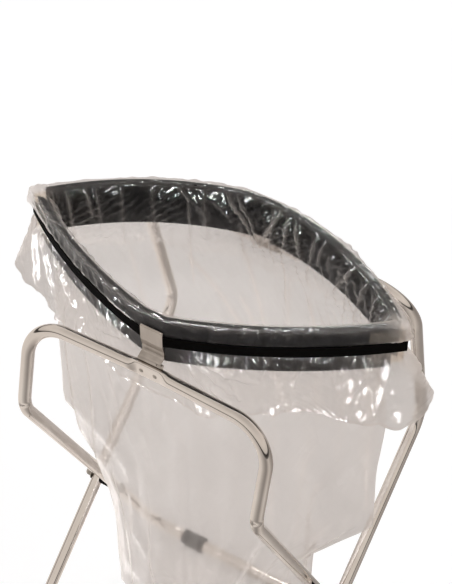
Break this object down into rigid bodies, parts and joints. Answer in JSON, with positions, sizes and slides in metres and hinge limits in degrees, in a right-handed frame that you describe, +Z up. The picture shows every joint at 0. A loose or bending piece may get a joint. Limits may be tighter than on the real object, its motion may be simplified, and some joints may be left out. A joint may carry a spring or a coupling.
{
  "type": "bin bag holder",
  "caption": "Folding bin bag stand of bent steel tube: a flat plastic hoop on hinged clips holds a film bag open, its mouth turned over the rim under an elastic strap.",
  "frame": {"origin": "on the floor, under the middle of the stand", "axes": "+Z up, +X along the hoop and the top bars, -Y towards the front clip"},
  "size_m": [0.6746, 0.5138, 0.9013],
  "materials": {
    "polished_steel": "polished stainless tube",
    "sheet_steel": "bent stainless sheet, brushed",
    "fasteners": "stainless bolts, nuts, pins and rivets",
    "black_plastic": "semi-matt black extruded plastic",
    "rubber": "matt black rubber",
    "elastic": "woven black elastic",
    "packing_tape": "light brown packing tape, half clear",
    "film": "thin translucent polyethylene film"
  },
  "bodies": {
    "rear_stand": {"rear_frame_tube": "polished_steel", "rear_frame_feet": "rubber", "rear_hinge_leaf": "sheet_steel", "rear_hinge_pin": "fasteners", "rear_leaf_rivets": "fasteners", "pivot_bolts": "fasteners", "pivot_washers": "fasteners", "pivot_spacers": "black_plastic", "pivot_cap_nuts": "fasteners"},
    "front_stand": {"front_frame_tube": "polished_steel", "front_frame_feet": "rubber", "front_hinge_leaf": "sheet_steel", "front_hinge_pin": "fasteners", "front_leaf_rivets": "fasteners"},
    "rear_hoop": {"rear_clip": "sheet_steel", "rear_band_cradle": "sheet_steel", "rear_band": "black_plastic", "left_tip_tape": "packing_tape", "right_tip_tape": "packing_tape", "elastic_strap": "elastic", "bin_bag": "film"},
    "front_hoop": {"front_clip": "sheet_steel", "front_band_cradle": "sheet_steel", "front_band": "black_plastic"}
  },
  "joints": [
    {"name": "fold", "type": "hinge", "parent": "rear_stand", "child": "front_stand", "pos_m": [0, 0, 0.24], "axis": [-1, 0, 0], "range_deg": [0, 24], "deforming": ["front_band", "rear_band", "left_tip_tape", "right_tip_tape", "elastic_strap", "bin_bag"]},
    {"name": "rear_clip_swing", "type": "hinge", "parent": "rear_stand", "child": "rear_hoop", "pos_m": [0, 0.157, 0.81715], "axis": [-1, 0, 0], "range_deg": [0, 12]},
    {"name": "front_clip_swing", "type": "hinge", "parent": "front_stand", "child": "front_hoop", "pos_m": [0, -0.157, 0.81715], "axis": [1, 0, 0], "range_deg": [0, 12]}
  ],
  "couplings": [
    {"joint": "rear_clip_swing", "follows": "fold", "ratio": 0.5},
    {"joint": "front_clip_swing", "follows": "fold", "ratio": 0.5}
  ]
}
